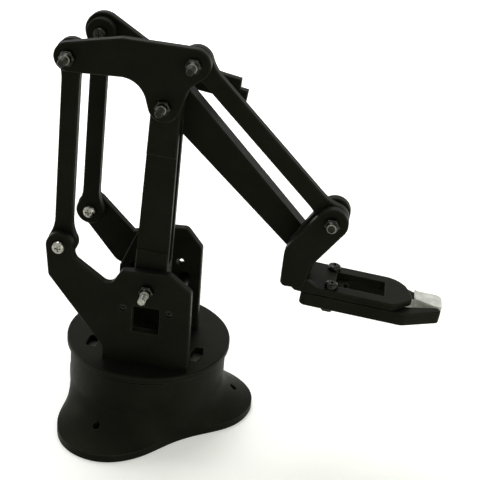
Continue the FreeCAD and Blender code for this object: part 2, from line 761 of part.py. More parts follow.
def wrist_cheek():
    """Near cheek plate between the front link and the gripper."""
    wx, wz = wrist
    fx, fz = front_low
    toe = wz - cheek_drop
    outline = [
        (fx, fz, lobe_radius), (wx - cheek_back, wz + cheek_lift, wrist_radius),
        (wx - cheek_toe_rear, toe, cheek_toe_round), (wx + cheek_toe_front, toe, cheek_toe_round),
        (wx + cheek_hollow_run, wz - cheek_hollow_drop, -cheek_hollow_round)]
    plate = upright(outline, near_out, near_in, edge_break)
    plate = plate.cut(rod(front_low, hole, near_out - 1, near_in + 1))
    for point in peg_points:
        bottom = near_in - peg_length - peg_end_play
        socket = rod(point, peg_radius + seat_clearance, bottom, near_in + 1)
        plate = plate.cut(pitched(socket))
    return one(plate)


def wrist_yoke():
    """Inner cheek with the foot that carries the near cheek and sits on the deck."""
    wx, wz = wrist
    half = foot_length / 2
    sides = [(wx, wz, wrist_radius), (wx - half, deck_top, 0), (wx + half, deck_top, 0)]
    cheek = upright(sides, cheek_near, cheek_far)
    foot = box(wx - half, wx + half, near_in, cheek_far, deck_top, deck_top + foot_height)
    yoke = cheek.fuse(foot)
    for point in peg_points:
        yoke = yoke.fuse(rod(point, peg_radius, near_in - peg_length, near_in + 1))
    yoke = yoke.cut(rod(wrist, hole, cheek_near - 1, cheek_far + 1))
    for x, y in deck_screw_points:
        depth = foot_height - deck_screw_cover + deck_screw_end_play
        yoke = yoke.cut(Part.makeCylinder(deck_screw_radius, depth + 1, V(x, y, deck_top - 1)))
    yoke = pitched(one(yoke))
    # second lobe behind the front link, with a collar that fills the space between them
    lobe = upright([(*wrist, wrist_radius), (*front_low, lobe_radius)], cheek_near, cheek_far, edge_break)
    lobe = lobe.fuse(rod(front_low, collar_radius, link_seat, cheek_near + 1))
    lobe = lobe.cut(rod(front_low, hole, link_seat - 1, cheek_far + 1))
    return one(yoke.fuse(lobe.cut(rod(wrist, hole, cheek_near - 1, cheek_far + 1))))


def gripper_deck():
    wx = wrist[0]
    r = deck_tail_round
    tail_near = far_edge - deck_tail_width
    front = wx + deck_length
    outline = [
        (wx - deck_tail + r, tail_near + r, r),
        (wx + deck_step_run, tail_near - deck_step_round, -deck_step_round),
        (wx + deck_rear + deck_rear_round, near_edge + deck_rear_round, deck_rear_round),
        (front - nose_near_inset - nose_near_round, near_edge + nose_near_round, nose_near_round),
        (front - nose_near_round, gripper_plane - nose_shift, nose_near_round),
        (front - nose_far_inset - nose_far_round, far_edge - nose_far_round, nose_far_round),
        (wx - deck_tail + r, far_edge - r, r)]
    deck = level(outline, deck_bottom, deck_top, edge_break)
    y0, y1 = gripper_plane - slot_width / 2, gripper_plane + slot_width / 2
    slot = rounded_box(wx + slot_start, wx + slot_start + slot_length, y0, y1, window_round)
    deck = deck.cut(level(slot, deck_bottom - 1, deck_top + 1))
    for x, y in jaw_pivots:
        deck = deck.cut(Part.makeCylinder(hole, deck_thickness + 2, V(x, y, deck_bottom - 1)))
    for x, y in deck_screw_points:
        r = deck_screw_radius + seat_clearance
        deck = deck.cut(Part.makeCylinder(r, deck_thickness + 2, V(x, y, deck_bottom - 1)))
    return pitched(one(deck))


def gear_sector(x, y, inward, phase):
    """Toothed half of a jaw's root, facing the other jaw along inward (+1 or -1 on Y)."""
    pitch_r = jaw_centres / 2
    tip_r = pitch_r + tooth_rise * tooth_module
    root_r = pitch_r - tooth_sink * tooth_module
    step = 2 * pi / tooth_count
    points = []
    for k in range(-3, 4):
        mid = inward * pi / 2 + (k + phase) * step
        for share, r in ((-tooth_root_half, root_r), (-tooth_tip_half, tip_r),
                         (tooth_tip_half, tip_r), (tooth_root_half, root_r)):
            points.append(V(x + r * cos(mid + share * step), y + r * sin(mid + share * step), jaw_bottom))
    points.append(V(x, y, jaw_bottom))
    points.append(points[0])
    return Part.Face(Part.makePolygon(points)).extrude(V(0, 0, jaw_thickness))


def jaw(side, phase):
    """Finger on one side of the middle plane (side -1 is the near one) with its gear teeth."""
    x, y = jaw_pivots[0] if side < 0 else jaw_pivots[1]
    w = jaw_half_width
    chain = [(heel_x, w - heel_radius, heel_radius),
             (knuckle_x - claw_shift, w - claw_inset - claw_round, -claw_round),
             (jaw_tip_x, jaw_tip_gap + jaw_tip_radius, jaw_tip_radius),
             (knuckle_x, w - knuckle_radius, knuckle_radius)]
    outline = [(wrist[0] + a, gripper_plane + side * b, r) for a, b, r in chain]
    finger = level(outline[::side], jaw_bottom, jaw_top, edge_break)
    shape = finger.fuse(gear_sector(x, y, -side, phase))
    shape = shape.cut(Part.makeCylinder(hole, jaw_thickness + 2, V(x, y, jaw_bottom - 1)))
    return pitched(one(shape))


def jaw_screws():
    out = []
    length = deck_thickness + jaw_gap + jaw_thickness + face_gap + thin_nut_height + jaw_screw_tip
    for x, y in jaw_pivots:
        screw = pan_screw(bolt_radius, length, head_radius, head_height)
        screw.translate(V(x, y, deck_top))
        out.append(pitched(screw))
    return Part.Compound(out)


def jaw_nuts():
    out = []
    hex_height = thin_nut_height * hex_share
    for x, y in jaw_pivots:
        shape = lock_nut(bolt_radius, nut_width, hex_height, nut_collar_radius, thin_nut_height - hex_height)
        shape.rotate(V(0, 0, 0), V(1, 0, 0), 180)
        shape.translate(V(x, y, jaw_bottom - face_gap))
        out.append(pitched(shape))
    return Part.Compound(out)


def deck_screws():
    out = []
    length = deck_thickness + foot_height - deck_screw_cover
    for x, y in deck_screw_points:
        screw = pan_screw(deck_screw_radius, length, deck_screw_head, deck_screw_head_height)
        screw.rotate(V(0, 0, 0), V(1, 0, 0), 180)
        screw.translate(V(x, y, deck_bottom))
        out.append(pitched(screw))
    return Part.Compound(out)


# Pivot bolts

shoulder_stack = nut_height + shoulder_tip
near_stack = nut_height + bolt_tip
far_stack = nut_height + short_tip
shoulder_seat = lower_far + face_gap
drive_seat = drive_near - face_gap
crank_seat = crank_far + face_gap
nodes = {
    "base_shell": base_shell(),
    "base_cover": base_cover(),
    "slip_ring": slip_ring(),
    "yaw_bolt": yaw_bolt(),
    "yaw_nut": yaw_nut(),
    "turntable_disc": disc(),
    "side_plate_near": side_plate_near(),
    "side_plate_far": side_plate_far(),
    "cross_bars": cross_bars(),
    "cross_bar_screws": bar_screws(),
    "shoulder_bolt": bolt(shoulder, shoulder_seat, 1, shoulder_seat - near_out + shoulder_stack),
    "shoulder_nut": nut(shoulder, near_out, -1),
    "level_bolt": bolt(level_low, near_out, -1, link_seat - near_out + far_stack),
    "level_nut": nut(level_low, link_seat, 1),
    "crank_bolt": bolt(shoulder, far_in, -1, crank_seat - far_in + far_stack),
    "crank_nut": nut(shoulder, crank_seat, 1),
    "lower_arm": lower_arm(),
    "level_link": link(level_low, level_high, link_near),
    "triangle_plate": triangle_plate(),
    "elbow_bolt": bolt(elbow, crank_seat, 1, crank_seat - near_out + near_stack),
    "elbow_nut": nut(elbow, near_out, -1),
    "triangle_bolts": Part.Compound([bolt(p, link_seat, 1, link_seat - near_out + near_stack)
                                     for p in (level_high, front_high)]),
    "triangle_nuts": Part.Compound([nut(p, near_out, -1) for p in (level_high, front_high)]),
    "crank": crank(),
    "crank_pin": bolt(crank_end, drive_seat, -1, crank_seat - drive_seat + far_stack),
    "crank_pin_nut": nut(crank_end, crank_seat, 1),
    "drive_link": link(crank_end, lever_end, drive_near),
    "forearm": forearm(),
    "elbow_lever": elbow_lever(),
    "lever_bolt": bolt(lever_end, drive_seat, -1, crank_far - drive_seat + far_stack),
    "lever_nut": nut(lever_end, crank_far, 1),
    "front_link": link(front_low, front_high, link_near),
    "wrist_cheek": wrist_cheek(),
    "wrist_yoke": wrist_yoke(),
    "wrist_bolt": bolt(wrist, cheek_near, -1, fore_far + face_gap - cheek_near + far_stack),
    "wrist_nut": nut(wrist, fore_far + face_gap, 1),
    "cheek_bolt": bolt(front_low, cheek_far, 1, cheek_far - near_out + far_stack),
    "cheek_nut": nut(front_low, near_out, -1),
    "gripper_deck": gripper_deck(),
    "deck_screws": deck_screws(),
    "jaw_near": jaw(-1, 0.0),
    "jaw_far": jaw(1, 0.5),
    "jaw_screws": jaw_screws(),
    "jaw_nuts": jaw_nuts(),
}

os.makedirs("parts", exist_ok=True)
for name, shape in nodes.items():
    shape.exportStep("parts/" + name + ".step")
print("pivots", shoulder, elbow, wrist, level_low, level_high, crank_end, lever_end, front_high, front_low)
print("jaw pivots", jaw_pivots, "deck", deck_top, "jaw", jaw_bottom, jaw_top)
for name, shape in nodes.items():
    print(name, "valid" if shape.isValid() else "INVALID", len(shape.Solids), round(shape.Volume, 1))
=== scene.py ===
import json
from math import cos, pi, radians, sin

import bmesh
import bpy
from mathutils import Matrix, Vector


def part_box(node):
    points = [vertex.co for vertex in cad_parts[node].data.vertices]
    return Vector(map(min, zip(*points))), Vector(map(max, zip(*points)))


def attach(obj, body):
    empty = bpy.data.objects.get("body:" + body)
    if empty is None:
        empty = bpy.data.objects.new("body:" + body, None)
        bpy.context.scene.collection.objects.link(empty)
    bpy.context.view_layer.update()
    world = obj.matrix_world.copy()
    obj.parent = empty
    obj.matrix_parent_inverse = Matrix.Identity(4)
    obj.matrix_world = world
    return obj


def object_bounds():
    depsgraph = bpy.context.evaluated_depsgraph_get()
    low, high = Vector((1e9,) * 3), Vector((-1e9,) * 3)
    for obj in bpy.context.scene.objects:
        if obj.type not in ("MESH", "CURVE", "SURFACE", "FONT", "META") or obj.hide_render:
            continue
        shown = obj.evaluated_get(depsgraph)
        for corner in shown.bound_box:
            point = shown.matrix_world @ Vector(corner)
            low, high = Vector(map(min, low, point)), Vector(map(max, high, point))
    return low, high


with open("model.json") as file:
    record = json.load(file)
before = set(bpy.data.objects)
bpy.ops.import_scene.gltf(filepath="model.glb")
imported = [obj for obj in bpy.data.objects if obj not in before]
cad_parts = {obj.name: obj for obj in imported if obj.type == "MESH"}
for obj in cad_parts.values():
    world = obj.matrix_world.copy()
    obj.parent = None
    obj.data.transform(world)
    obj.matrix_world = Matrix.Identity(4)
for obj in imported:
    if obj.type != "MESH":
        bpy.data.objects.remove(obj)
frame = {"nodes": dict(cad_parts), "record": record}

# Small desktop robot arm of black moulded plates on zinc-plated pivots, standing on a white table.
# Lengths are in metres and angles in radians, unless a comment says otherwise.

cad_low, cad_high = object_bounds()

MM = 0.001

# Camera, as in the picture
CAMERA_TARGET = Vector((0.03709, 0.0, 0.08802))
CAMERA_TURN = radians(6.66)          # round to the arm's front
CAMERA_RISE = radians(26.6)
CAMERA_ROLL = radians(5.25)
CAMERA_DISTANCE = 0.4394
CAMERA_LENS = 77.8                   # millimetres
CAMERA_SENSOR = 36.0                 # millimetres
CAMERA_CLIP = 0.01

# Bolts' threads and the nylon inserts of the lock nuts
THREAD_PITCH = 0.5 * MM
THREAD_STEPS = 18                    # facets in one turn
THREAD_ROOT = 1.46 * MM
THREAD_CREST = 1.60 * MM
THREAD_HALF_WIDTH = 0.42 * THREAD_PITCH
THREAD_START = 0.6 * THREAD_PITCH    # where the ridge starts, behind the bolt's tip
THREAD_LEAST = 2.0 * THREAD_PITCH    # a shorter free end stays plain
INSERT_INNER = 1.5 * MM
INSERT_OUTER = 1.86 * MM
INSERT_RISE = 0.12 * MM
INSERT_INNER_RISE = 0.6 * INSERT_RISE
INSERT_STEPS = 32                    # facets round the ring

# Gripper turned level, with places on the far jaw counted back from its tip
GRIPPER_PITCH = radians(4.2)         # nose down
LEVEL = Matrix.Rotation(-GRIPPER_PITCH, 4, "Y")
JAW_INNER_SLOPE = 0.349              # of the jaw's inner side, away from the gripper's middle
JAW_TIP_ROUND = 2.0 * MM             # round end, where that slope starts
JAW_OUTER = 9.25 * MM                # outer side at the sleeve's back, from the tip's inner side

# Pale rubber on the far jaw, its paleness a painted highlight for the glare on the jaw's tip
SLEEVE_LENGTH = 11.0 * MM
SLEEVE_WALL = 0.45 * MM
SLEEVE_CORNER = 2.8 * MM             # outer corner of the blunt end
LIP_LENGTH = 0.9 * MM
LIP_WALL = 0.75 * MM
PAD_LENGTH = 6.0 * MM
PAD_WALL = 0.7 * MM
PAD_MARGIN = 0.5 * MM                # of the jaw's side, above and below the pad
SLEEVE_ROUND = 0.4 * MM
PAD_ROUND = 0.2 * MM

# Heel of the near cheek, forward of the wrist's pivot and up from the deck's underside
WRIST_FROM_NOSE = 47.6 * MM          # wrist's pivot, behind the deck's nose
HEEL_TOE = (-1.9 * MM, 1.6 * MM)
HEEL_CREST = (3.6 * MM, 5.5 * MM)
HEEL_SOLE_START = 0.1 * MM
HEEL_SOLE_RISE = 0.06 * MM
HEEL_FRONT = 9.1 * MM
HEEL_FRONT_RISE = 2.9 * MM
HEEL_INSET = 0.15 * MM               # of the heel's faces behind the cheek's
HEEL_ROUND = 0.35 * MM

# Rounding and joining of meshes
EDGE_SEGMENTS = 3
CORNER_SEGMENTS = 6
SHARP_TURN = radians(25)             # an edge that turns more is rounded
TOUCH = 1e-6                         # points as close as this are at one place
SEAM = 1e-7                          # points as close as this are merged in a new piece

# Colours, and depths in the finishes
WHITE = (1.0, 1.0, 1.0, 1.0)
WARM_LIGHT = (0.98, 1.0, 0.80, 1.0)
OLIVE_GLOSS = (0.96, 1.0, 0.50, 1.0)
# pale edge colour of the black plastics: a painted highlight along their edges
EDGE_HIGHLIGHT_PAINT = (0.080, 0.080, 0.058, 1.0)
HANDLING = (0.78, 1.25)              # darkest and palest marks, as shares of the plastic's tone
POLISH_SPREAD = (-0.07, 0.09)        # roughness of scuffed plastic, about its mean
EDGE_MATCH = (0.985, 0.80)           # match of true and rounded direction, on a flat and on an edge
EDGE_SAMPLES = 6
PLASTIC_HIGHLIGHT_REACH = 0.5 * MM              # reach of the edges painted paler, a painted highlight
PLASTIC_ROUND = 0.4 * MM
PLASTIC_GRAIN = 0.04 * MM
STEEL_RIM_HIGHLIGHT_REACH = 0.2 * MM                 # reach of the rims painted bright, a painted highlight
STEEL_ROUND = 0.15 * MM
STEEL_MARKS = 0.02 * MM
RUBBER_BLOOM = 0.04 * MM

# White setting
TABLE_HALF = 6.0
TABLE_GAP = 0.2 * MM                 # under the base, so that the two faces don't meet
TABLE_GLOW = (0.36, 0.85)            # near the arm, where its shadow lies, and far from it
TABLE_GLOW_REACH = (0.12, 0.60)
WORLD_LIGHT = (0.20, 0.60)           # from the viewer's side and from behind the arm
WORLD_SPAN = (-0.35, 0.60)           # Y of the directions where that change starts and ends


# Node helpers

def new_material(name):
    material = bpy.data.materials.new(name)
    material.use_nodes = True
    tree = material.node_tree
    return material, tree, tree.nodes["Principled BSDF"]


def feed(tree, node, inputs):
    """Links each named input of a node to an output, or sets it to a plain value."""
    for key, value in inputs.items():
        if isinstance(value, bpy.types.NodeSocket):
            tree.links.new(value, node.inputs[key])
        else:
            node.inputs[key].default_value = value


def add(tree, kind, inputs, **settings):
    node = tree.nodes.new(kind)
    for key, value in settings.items():
        setattr(node, key, value)
    feed(tree, node, inputs)
    return node


def object_coordinates(tree):
    return add(tree, "ShaderNodeTexCoord", {}).outputs["Object"]


def noise(tree, where, scale, detail, roughness=0.5):
    """Cloudy pattern between 0 and 1, with scale features to the metre."""
    inputs = {"Vector": where, "Scale": scale, "Detail": detail, "Roughness": roughness}
    return add(tree, "ShaderNodeTexNoise", inputs).outputs["Fac"]


def shade(tree, factor, span, low, high):
    """Colour that goes from low to high while factor crosses span."""
    node = add(tree, "ShaderNodeValToRGB", {"Fac": factor})
    for element, place, colour in zip(node.color_ramp.elements, span, (low, high)):
        element.position = place
        element.color = (*colour, 1.0)
    return node.outputs["Color"]


def grey(value):
    return (value, value, value)


def map_range(tree, value, span, result):
    """Number that goes from one end of result to the other while value crosses span."""
    inputs = {"Value": value, "From Min": span[0], "From Max": span[1],
              "To Min": result[0], "To Max": result[1]}
    return add(tree, "ShaderNodeMapRange", inputs).outputs["Result"]


def combine(tree, operation, first, second):
    return add(tree, "ShaderNodeMath", {0: first, 1: second}, operation=operation).outputs[0]


def mix(tree, factor, first, second):
    inputs = {"Factor": factor, "A": first, "B": second}
    return add(tree, "ShaderNodeMix", inputs, data_type="RGBA").outputs["Result"]


def rounded_normal(tree, radius):
    return add(tree, "ShaderNodeBevel", {"Radius": radius}, samples=EDGE_SAMPLES).outputs["Normal"]


def edge_mask(tree, radius):
    """1 along the edges of a piece, 0 on its flats."""
    true_normal = add(tree, "ShaderNodeNewGeometry", {}).outputs["Normal"]
    match = add(tree, "ShaderNodeVectorMath", {0: rounded_normal(tree, radius), 1: true_normal},
                operation="DOT_PRODUCT")
    return map_range(tree, match.outputs["Value"], EDGE_MATCH, (0.0, 1.0))


def bump(tree, height, strength, depth, normal=None):
    node = add(tree, "ShaderNodeBump", {"Height": height, "Strength": strength, "Distance": depth})
    if normal is not None:
        feed(tree, node, {"Normal": normal})
    return node.outputs["Normal"]


# Materials

def moulded_black(name, tone, grain, polish, sheen):
    """Black moulded plastic: fine grain, faint handling marks, edges painted paler in patches as a
    highlight.
    """
    material, tree, shader = new_material(name)
    where = object_coordinates(tree)
    blotch = noise(tree, where, scale=70.0, detail=5.0, roughness=0.6)
    speck = noise(tree, where, scale=2600.0, detail=2.0)
    scuff = noise(tree, where, scale=240.0, detail=6.0, roughness=0.7)
    dark, pale = (tuple(share * c for c in tone) for share in HANDLING)
    body = shade(tree, blotch, span=(0.32, 0.68), low=dark, high=pale)
    # painted highlight: the edges are paler in patches
    painted_edge_highlight = combine(tree, "MULTIPLY", edge_mask(tree, PLASTIC_HIGHLIGHT_REACH), blotch)
    smooth, rough = (grey(polish + change) for change in POLISH_SPREAD)
    rounded = rounded_normal(tree, PLASTIC_ROUND)
    feed(tree, shader, {
        "Base Color": mix(tree, painted_edge_highlight, body, EDGE_HIGHLIGHT_PAINT),
        "Roughness": shade(tree, scuff, span=(0.25, 0.75), low=smooth, high=rough),
        "Normal": bump(tree, speck, strength=grain, depth=PLASTIC_GRAIN, normal=rounded),
        "Specular IOR Level": sheen,
        "Specular Tint": OLIVE_GLOSS})
    return material


def plated_steel(name, dull, bright, painted_rim_highlight, smooth, rough):
    """Plated steel, with fine turning marks, dulled spots and rims painted bright as a highlight."""
    material, tree, shader = new_material(name)
    where = object_coordinates(tree)
    spots = noise(tree, where, scale=900.0, detail=4.0, roughness=0.65)
    marks = noise(tree, where, scale=3000.0, detail=3.0)
    body = shade(tree, spots, span=(0.30, 0.62), low=dull, high=bright)
    rounded = rounded_normal(tree, STEEL_ROUND)
    feed(tree, shader, {
        # painted highlight: the rims are paler than the body
        "Base Color": mix(tree, edge_mask(tree, STEEL_RIM_HIGHLIGHT_REACH), body, (*painted_rim_highlight, 1.0)),
        "Roughness": shade(tree, marks, span=(0.30, 0.70), low=grey(smooth), high=grey(rough)),
        "Normal": bump(tree, marks, strength=0.12, depth=STEEL_MARKS, normal=rounded),
        "Metallic": 1.0})
    return material


def milky_nylon(name):
    """Nylon of the lock nuts' inserts."""
    material, tree, shader = new_material(name)
    cloud = noise(tree, object_coordinates(tree), scale=1400.0, detail=3.0)
    feed(tree, shader, {
        "Base Color": shade(tree, cloud, span=(0.3, 0.7), low=(0.30, 0.30, 0.27), high=(0.42, 0.42, 0.38)),
        "Roughness": 0.45,
        "Subsurface Weight": 0.2,
        "Subsurface Radius": (0.4 * MM, 0.4 * MM, 0.3 * MM)})
    return material


def pale_glare_rubber(name):
    """Pale rubber that light enters, with a dusty bloom. Its paleness is a painted highlight for the glare
    on the far jaw.
    """
    material, tree, shader = new_material(name)
    where = object_coordinates(tree)
    cloud = noise(tree, where, scale=220.0, detail=5.0, roughness=0.6)
    bloom = noise(tree, where, scale=1800.0, detail=3.0)
    feed(tree, shader, {
        "Base Color": shade(tree, cloud, span=(0.30, 0.70), low=(0.40, 0.40, 0.39), high=(0.66, 0.66, 0.65)),
        "Roughness": shade(tree, cloud, span=(0.30, 0.70), low=grey(0.42), high=grey(0.60)),
        "Normal": bump(tree, bloom, strength=0.15, depth=RUBBER_BLOOM),
        "Subsurface Weight": 0.25,
        "Subsurface Radius": (0.8 * MM, 0.8 * MM, 0.7 * MM)})
    return material


PLATE_BLACK = moulded_black("plate_black", tone=(0.0072, 0.0072, 0.0063),
                            grain=0.16, polish=0.40, sheen=0.034)
BASE_BLACK = moulded_black("base_black", tone=(0.0074, 0.0076, 0.0063),
                           grain=0.22, polish=0.46, sheen=0.034)
RING_GREY = moulded_black("ring_grey", tone=(0.030, 0.030, 0.029),
                          grain=0.10, polish=0.36, sheen=0.30)
# Zinc in two copies: bright on the bolts listed in BRIGHT_NODES, and darkened to near black elsewhere as a
# painted dark reflection
BRIGHT_ZINC = plated_steel("bright_zinc", dull=(0.15, 0.15, 0.13), bright=(0.34, 0.34, 0.30),
                           painted_rim_highlight=(0.58, 0.58, 0.51), smooth=0.16, rough=0.34)
ZINC_PAINTED_DARK = plated_steel("zinc_painted_dark", dull=(0.007, 0.007, 0.006), bright=(0.019, 0.019, 0.016),
                         painted_rim_highlight=(0.15, 0.15, 0.13), smooth=0.26, rough=0.42)
NUT_NYLON = milky_nylon("nut_nylon")
# pale colour of the far jaw's sleeve and pad: a painted highlight for glare
PALE_GLARE_RUBBER = pale_glare_rubber("pale_glare_rubber")
FINISH = {
    "plate_plastic": PLATE_BLACK, "base_plastic": BASE_BLACK, "ring_plastic": RING_GREY, "zinc": ZINC_PAINTED_DARK}
BRIGHT_NODES = ("shoulder_bolt", "level_bolt", "crank_pin")


def finish_of(node, slot):
    return BRIGHT_ZINC if node in BRIGHT_NODES else FINISH[slot]


for part in frame["record"]["subparts"]:
    materials = frame["nodes"][part["node"]].data.materials
    materials.clear()
    materials.append(finish_of(part["node"], part["material_slot"]))


# New pieces

def box_of(points):
    """Lowest and highest corner of a group of points."""
    low = Vector([min(p[k] for p in points) for k in range(3)])
    high = Vector([max(p[k] for p in points) for k in range(3)])
    return low, high


def verts_of(geometry):
    return [item for item in geometry if isinstance(item, bmesh.types.BMVert)]


def closed_profile(mesh, points):
    """Points joined in a ring of edges, ready to be spun."""
    verts = [mesh.verts.new(p) for p in points]
    edges = [mesh.edges.new((verts[k - 1], verts[k])) for k in range(len(verts))]
    return verts, edges


def finish_piece(name, mesh, material, body):
    """Smooth piece made of a closed mesh, on the body that carries it."""
    bmesh.ops.remove_doubles(mesh, verts=mesh.verts, dist=SEAM)
    bmesh.ops.recalc_face_normals(mesh, faces=mesh.faces)
    data = bpy.data.meshes.new(name)
    mesh.to_mesh(data)
    mesh.free()
    piece = bpy.data.objects.new(name, data)
    bpy.context.scene.collection.objects.link(piece)
    data.materials.append(material)
    for face in data.polygons:
        face.use_smooth = True
    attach(piece, body)


# Fastener details

NUT_ON = {
    "shoulder_bolt": "shoulder_nut", "level_bolt": "level_nut", "crank_bolt": "crank_nut",
    "elbow_bolt": "elbow_nut", "triangle_bolts": "triangle_nuts", "crank_pin": "crank_pin_nut",
    "lever_bolt": "lever_nut", "wrist_bolt": "wrist_nut", "cheek_bolt": "cheek_nut"}


def body_of(node):
    bodies = frame["record"]["behaviour"]["bodies"]
    return next(body for body, members in bodies.items() if node in members)


def solid_boxes(node):
    """Lowest and highest corner of each separate solid in a node."""
    mesh = bmesh.new()
    mesh.from_mesh(frame["nodes"][node].data)
    bmesh.ops.remove_doubles(mesh, verts=mesh.verts, dist=TOUCH)
    waiting = set(mesh.verts)
    boxes = []
    while waiting:
        front = [waiting.pop()]
        found = list(front)
        while front:
            vert = front.pop()
            joined = [edge.other_vert(vert) for edge in vert.link_edges]
            fresh = [other for other in joined if other in waiting]
            waiting.difference_update(fresh)
            front += fresh
            found += fresh
        boxes.append(box_of([vert.co for vert in found]))
    mesh.free()
    return sorted(boxes, key=lambda box: tuple(box[0]))


def thread(mesh, tip, along, length):
    """Helical ridge on the free end of a bolt, from its tip back along its axis."""
    turns = max(1, int(length / THREAD_PITCH) - 1)
    side = along.orthogonal().normalized()
    start = tip + along * THREAD_START
    root = start + side * THREAD_ROOT
    width = along * THREAD_HALF_WIDTH
    verts, edges = closed_profile(mesh, (root - width, start + side * THREAD_CREST, root + width))
    mesh.faces.new(verts)
    spun = bmesh.ops.spin(mesh, geom=verts + edges, cent=tip, axis=along, angle=2 * pi * turns,
                          steps=THREAD_STEPS * turns, dvec=along * (THREAD_PITCH / THREAD_STEPS))
    mesh.faces.new(verts_of(spun["geom_last"]))


def insert_ring(mesh, mouth, outward):
    """Nylon ring that shows in the mouth of a lock nut."""
    side = outward.orthogonal().normalized()
    profile = ((INSERT_INNER, 0.0), (INSERT_INNER, INSERT_INNER_RISE),
               (INSERT_INNER + INSERT_RISE, INSERT_RISE), (INSERT_OUTER - INSERT_RISE, INSERT_RISE),
               (INSERT_OUTER, 0.0))
    verts, edges = closed_profile(mesh, [mouth + side * reach + outward * rise for reach, rise in profile])
    bmesh.ops.spin(mesh, geom=verts + edges, cent=mouth, axis=outward, angle=2 * pi, steps=INSERT_STEPS,
                   use_merge=True)


def dress_pivot(bolt_node, nut_node):
    """Threads on the bolts' free ends, where these are long enough, and a nylon ring in each lock nut."""
    threads = bmesh.new()
    inserts = bmesh.new()
    for (bolt_low, bolt_high), (nut_low, nut_high) in zip(solid_boxes(bolt_node), solid_boxes(nut_node)):
        x = (nut_low.x + nut_high.x) / 2
        z = (nut_low.z + nut_high.z) / 2
        near_side = nut_low.y - bolt_low.y < bolt_high.y - nut_high.y
        outward = Vector((0.0, -1.0 if near_side else 1.0, 0.0))
        tip = Vector((x, bolt_low.y if near_side else bolt_high.y, z))
        mouth = Vector((x, nut_low.y if near_side else nut_high.y, z))
        free_end = abs(tip.y - mouth.y)
        if free_end > THREAD_LEAST:
            thread(threads, tip, -outward, free_end)
        insert_ring(inserts, mouth, outward)
    body = body_of(bolt_node)
    if threads.verts:
        finish_piece(bolt_node + "_thread", threads, finish_of(bolt_node, "zinc"), body)
    else:
        threads.free()
    finish_piece(nut_node + "_insert", inserts, NUT_NYLON, body)


for bolt, nut in NUT_ON.items():
    dress_pivot(bolt, nut)


# Gripper details

def level_points(node):
    return [LEVEL @ vert.co for vert in frame["nodes"][node].data.vertices]


jaw_points = level_points("jaw_far")
jaw_low, jaw_high = box_of(jaw_points)
jaw_inner = min(p.y for p in jaw_points if p.x > jaw_high.x - SLEEVE_LENGTH)


def inner_side(back):
    """Y of the far jaw's inner side, at a place back from its tip."""
    return jaw_inner + JAW_INNER_SLOPE * max(back - JAW_TIP_ROUND, 0.0)


def round_edges(mesh, edges, radius, segments):
    bmesh.ops.bevel(mesh, geom=edges, offset=radius, segments=segments, profile=0.5, affect="EDGES",
                    material=-1)


def gripper_block(corners, rise, edge_round, end_corner=0.0):
    """Block raised from corners in the level gripper, its edges rounded, then turned to the gripper's pitch.
    end_corner is a larger round for the edge raised from the second corner."""
    mesh = bmesh.new()
    base = mesh.faces.new([mesh.verts.new(c) for c in corners])
    raised = bmesh.ops.extrude_face_region(mesh, geom=[base])["geom"]
    bmesh.ops.translate(mesh, vec=rise, verts=verts_of(raised))
    bmesh.ops.recalc_face_normals(mesh, faces=mesh.faces)
    if end_corner:
        place = Vector(corners[1]).xy
        upright = [e for e in mesh.edges if all((v.co.xy - place).length < TOUCH for v in e.verts)]
        round_edges(mesh, upright, end_corner, CORNER_SEGMENTS)
    sharp = [e for e in mesh.edges if e.calc_face_angle(0.0) > SHARP_TURN]
    round_edges(mesh, sharp, edge_round, EDGE_SEGMENTS)
    bmesh.ops.transform(mesh, matrix=LEVEL.inverted(), verts=mesh.verts)
    return mesh


def sleeve(name, back, front, wall, end_corner=0.0):
    """Soft cover over a stretch of the far jaw, straight outside and following the jaw's inner side. Its
    pale colour is a painted highlight for the glare on the tip.
    """
    outer = jaw_inner + JAW_OUTER + wall
    turn = max(front, JAW_TIP_ROUND)
    plan = [(jaw_high.x - back, outer), (jaw_high.x - front, outer)]
    plan += [(jaw_high.x - place, inner_side(place) - wall) for place in sorted({front, turn, back})]
    corners = [(x, y, jaw_low.z - wall) for x, y in plan]
    rise = (0.0, 0.0, jaw_high.z - jaw_low.z + 2 * wall)
    mesh = gripper_block(corners, rise, SLEEVE_ROUND, end_corner)
    finish_piece(name, mesh, PALE_GLARE_RUBBER, "jaw_far")


def glare_pad():
    """Soft pad on the far jaw's inner side, behind the sleeve. Its pale colour is a painted highlight where
    light shows between the jaws.
    """
    ends = [(jaw_high.x - place, inner_side(place)) for place in (SLEEVE_LENGTH + PAD_LENGTH, SLEEVE_LENGTH)]
    plan = ends + [(x, y - PAD_WALL) for x, y in reversed(ends)]
    corners = [(x, y, jaw_low.z + PAD_MARGIN) for x, y in plan]
    rise = (0.0, 0.0, jaw_high.z - jaw_low.z - 2 * PAD_MARGIN)
    mesh = gripper_block(corners, rise, PAD_ROUND)
    finish_piece("glare_pad", mesh, PALE_GLARE_RUBBER, "jaw_far")


def cheek_heel():
    """Heel between the near cheek's toe and the deck's rear corner."""
    cheek_low, cheek_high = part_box("wrist_cheek")
    deck_low, deck_high = box_of(level_points("gripper_deck"))
    wrist = deck_high.x - WRIST_FROM_NOSE
    outline = (HEEL_TOE, (HEEL_SOLE_START, HEEL_SOLE_RISE), (HEEL_FRONT, HEEL_SOLE_RISE),
               (HEEL_FRONT, HEEL_FRONT_RISE), HEEL_CREST)
    corners = [(wrist + x, cheek_low.y + HEEL_INSET, deck_low.z + z) for x, z in outline]
    rise = (0.0, cheek_high.y - cheek_low.y - 2 * HEEL_INSET, 0.0)
    mesh = gripper_block(corners, rise, HEEL_ROUND)
    finish_piece("cheek_heel", mesh, PLATE_BLACK, "wrist")


